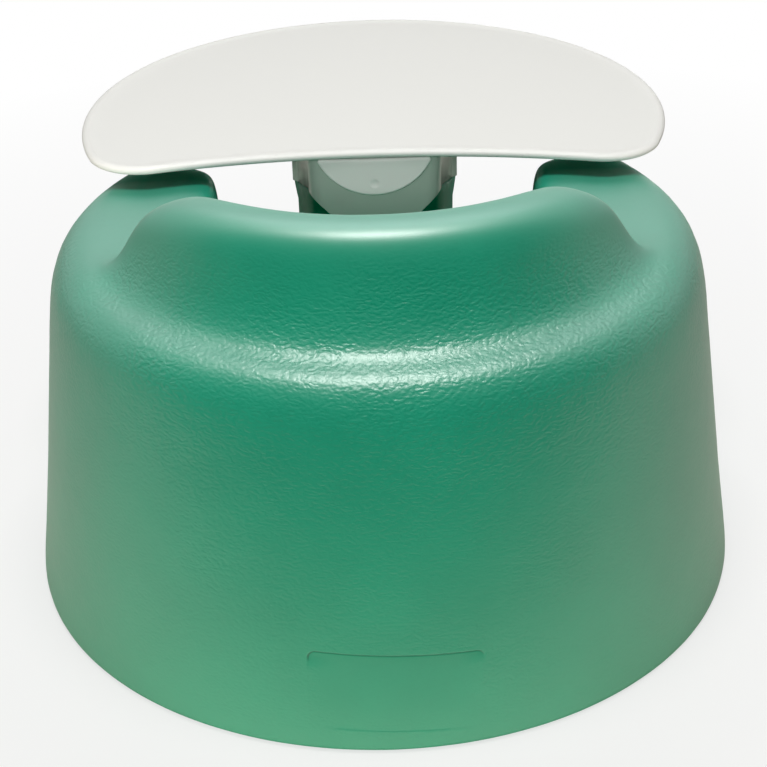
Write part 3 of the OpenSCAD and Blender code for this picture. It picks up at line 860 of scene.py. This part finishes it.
def bracket(material):
    """One section swept round: up inside the skirt, round both lips, and down into the well."""
    low = collar_low(bracket_outline(WALL_T / 2))
    on_rear = bracket_outline(0)[:, 1] > -TRAY_REAR - 2 * BEAD_HW - FIT_GAP
    high = np.where(on_rear, COLLAR_Z - BEAD_DROP, COLLAR_Z)
    r, t = BRACKET_EDGE_R, WALL_T
    bend = np.radians([0, 30, 60, 90])
    floor = DECK_Z + WALL_T
    # how far in, what height, and what it is measured from: nothing, the lower or the upper edge
    section = [(t + FILLET_R, DECK_Z, 0), (t + 0.25, DECK_Z - 0.25, 0), (t, DECK_Z - FILLET_R, 0)]
    section += [(t, r, 1)] + [(t - r + r * math.cos(a), r - r * math.sin(a), 1) for a in bend[1:]]
    section += [(r - r * math.sin(a), r - r * math.cos(a), 1) for a in bend]
    section += [(r - r * math.cos(a), -r + r * math.sin(a), 2) for a in bend]
    section += [(t - r + r * math.sin(a), -r + r * math.cos(a), 2) for a in bend]
    section += [(t, floor + FILLET_R, 0), (t + 0.25, floor + 0.25, 0), (t + FILLET_R, floor, 0)]
    rings = []
    for d, z, tied in section:
        plan = bracket_outline(d)
        level = (np.full(len(plan), z), low + z, high + z)[tied]
        rings.append(np.column_stack([plan, level]))
    points = np.stack(rings, axis=1)
    count, rows = points.shape[:2]
    faces = [list(f) for f in grid_faces(count, rows)]
    faces.append([i * rows for i in range(count)])
    faces.append([i * rows + rows - 1 for i in range(count)][::-1])
    return mesh_piece("tray_bracket_shell", points.reshape(-1, 3), faces, material, 40)


# ---- Pieces ----

seat = foam_seat(foam_material())
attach(seat, "seat")
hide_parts("foam_seat")

plastic = tray_material()
tray = tray_plate(plastic)
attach(tray, "tray")
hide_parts("tray_top")

tab = tab_plate(plastic)
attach(tab, "tab")
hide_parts("clip_tab")

shell = bracket(bracket_material())
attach(shell, "bracket")
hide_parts("tray_bracket")

for piece in (seat, tray, tab, shell):
    clean = bmesh.new()
    clean.from_mesh(piece.data)
    bmesh.ops.recalc_face_normals(clean, faces=clean.faces)
    clean.to_mesh(piece.data)
    clean.free()


# ---- Floor, light and camera ----

def floor_material():
    """White with the object's shadow where the camera sees it, a pale tabletop elsewhere."""
    material = bpy.data.materials.new("matt_pale_floor")
    material.use_nodes = True
    tree = material.node_tree
    tree.nodes.clear()
    place = add(tree, "ShaderNodeTexCoord").outputs["Object"]
    axes = add(tree, "ShaderNodeSeparateXYZ", in0=place)
    away = add(tree, "ShaderNodeVectorMath", {"operation": "LENGTH"}, in0=place).outputs["Value"]
    # dark behind the seat's back, and on a dark card that lies in front of the horn
    behind = add(tree, "ShaderNodeMapRange", {1: 0.22, 2: 0.42},
                 in0=axes.outputs["Y"]).outputs["Result"]
    wide = add(tree, "ShaderNodeMath", {"operation": "ABSOLUTE"}, in0=axes.outputs["X"]).outputs[0]
    middle = add(tree, "ShaderNodeMapRange", {1: 0.26, 2: 0.16}, in0=wide).outputs["Result"]
    front = add(tree, "ShaderNodeMapRange", {1: -0.16, 2: -0.24},
                in0=axes.outputs["Y"]).outputs["Result"]
    card = add(tree, "ShaderNodeMath", {"operation": "MULTIPLY"},
               in0=middle, in1=front).outputs[0]
    dim = add(tree, "ShaderNodeMath", {"operation": "MAXIMUM"}, in0=behind, in1=card).outputs[0]
    tone = add(tree, "ShaderNodeMix",
               {"data_type": "RGBA", 6: linear("#E6E2D6"), 7: linear("#1E1D1B")},
               in0=dim).outputs[2]
    plain = add(tree, "ShaderNodeBsdfDiffuse", Color=tone)
    white = add(tree, "ShaderNodeEmission", {"Color": linear("#FFFFFF"), "Strength": 1.0})
    matt = add(tree, "ShaderNodeBsdfDiffuse", {"Color": linear("#F4F4F2")})
    share = add(tree, "ShaderNodeMapRange", {1: 0.25, 2: 0.8, 3: 0.3, 4: 0.0},
                in0=away).outputs["Result"]
    seen = add(tree, "ShaderNodeMixShader", in0=share, in1=white.outputs[0], in2=matt.outputs[0])
    to_camera = add(tree, "ShaderNodeLightPath").outputs["Is Camera Ray"]
    both = add(tree, "ShaderNodeMixShader",
               in0=to_camera, in1=plain.outputs[0], in2=seen.outputs[0])
    add(tree, "ShaderNodeOutputMaterial", Surface=both.outputs[0])
    return material


bpy.ops.mesh.primitive_circle_add(vertices=96, radius=4, fill_type="NGON", location=(0, 0, 0))
floor = bpy.context.object
floor.name = "floor"
floor.data.materials.append(floor_material())

scene = bpy.context.scene
world = scene.world or bpy.data.worlds.new("studio")
scene.world = world
world.use_nodes = True
tree = world.node_tree
tree.nodes.clear()
path = add(tree, "ShaderNodeLightPath")
direction = add(tree, "ShaderNodeTexCoord").outputs["Generated"]
axes = add(tree, "ShaderNodeSeparateXYZ", in0=direction)
# A dim room, a little lighter overhead. In reflections a white backdrop stands on the side away
# from the photograph's camera and beside the object, and the room behind the camera stays dim.
high = add(tree, "ShaderNodeMapRange", {1: 0.1, 2: 0.95, 3: 0.02, 4: 0.22},
           in0=axes.outputs["Z"]).outputs["Result"]
backdrop = add(tree, "ShaderNodeMapRange", {1: 0.25, 2: -0.2, 3: 0.02, 4: 0.8},
               in0=axes.outputs["Y"]).outputs["Result"]
mirrored = add(tree, "ShaderNodeMath", {"operation": "MULTIPLY"},
               in0=backdrop, in1=path.outputs["Is Glossy Ray"]).outputs[0]
glow = add(tree, "ShaderNodeMath", {"operation": "ADD"}, in0=high, in1=mirrored).outputs[0]
room = add(tree, "ShaderNodeBackground", {"Color": linear("#F8F7F4")}, Strength=glow)
white = add(tree, "ShaderNodeBackground", {"Color": linear("#FFFFFF"), "Strength": 1.0})
shown = add(tree, "ShaderNodeMixShader",
            in0=path.outputs["Is Camera Ray"], in1=room.outputs[0], in2=white.outputs[0])
add(tree, "ShaderNodeOutputWorld", Surface=shown.outputs[0])


def softbox(name, place, target, width, depth, power, colour, reflected=True):
    light = bpy.data.lights.new(name, "AREA")
    light.shape = "RECTANGLE"
    light.size = width
    light.size_y = depth
    light.energy = power
    light.color = linear(colour)[:3]
    lamp = bpy.data.objects.new(name, light)
    bpy.context.collection.objects.link(lamp)
    lamp.location = place
    lamp.rotation_mode = "QUATERNION"
    lamp.rotation_quaternion = (Vector(target) - Vector(place)).to_track_quat("-Z", "Y")
    lamp.visible_glossy = reflected
    return lamp


softbox("overhead_softbox", (0.0, 0.08, 1.5), (0, 0, 0.15), 0.5, 0.3, 10.8, "#FFFDFB")
softbox("high_back_softbox", (0.0, -0.85, 1.3), (0, 0, 0.2), 1.1, 0.6, 3.5, "#F4FAFF")
# Low light from both ends of the room brightens the walls without a reflection of its own.
softbox("room_fill_low", (0.3, 2.0, 0.17), (0, 0, 0.15), 1.0, 0.24, 27, "#FFFBEE", False)
softbox("room_fill_front", (-0.4, -2.0, 0.22), (0, 0, 0.12), 1.2, 0.3, 15, "#FFFFFF", False)
# A small lamp on the plastic parts only, like a reflector held over the backrest.
reflector = softbox("bracket_reflector", (0.1, 1.2, 0.78), (0, -0.07, 0.18), 0.5, 0.3, 8,
                    "#FFFFFF", False)
lit = bpy.data.collections.new("lit_by_reflector")
for piece in (tray, tab, shell):
    lit.objects.link(piece)
reflector.light_linking.receiver_collection = lit

scene.view_settings.view_transform = "Standard"

# Camera fitted to the photograph: azimuth, elevation, distance, roll, and the point it looks at
AZIMUTH = math.radians(180.0)
ELEVATION = math.radians(29.486956832520608)
DISTANCE_MM = 975.5601081166917
ROLL = math.radians(-1.6172595296051266)
TARGET_MM = Vector((-1.6, 0, 94.42259508306239))
FOCAL_PX = 1800
IMAGE_PX = 767

level = math.cos(ELEVATION)
back_way = Vector((math.sin(AZIMUTH) * level, -math.cos(AZIMUTH) * level, math.sin(ELEVATION)))
level_right = (-back_way).cross(Vector((0, 0, 1))).normalized()
level_up = level_right.cross(-back_way)
right = level_right * math.cos(ROLL) + level_up * math.sin(ROLL)
up = level_up * math.cos(ROLL) - level_right * math.sin(ROLL)
camera_data = bpy.data.cameras.new("photo_camera")
camera_data.sensor_width = 36
camera_data.lens = FOCAL_PX / IMAGE_PX * camera_data.sensor_width
camera = bpy.data.objects.new("photo_camera", camera_data)
bpy.context.collection.objects.link(camera)
camera.matrix_world = Matrix((right, up, back_way)).transposed().to_4x4()
camera.location = (TARGET_MM + back_way * DISTANCE_MM) * MM
scene.camera = camera

bpy.context.view_layer.update()
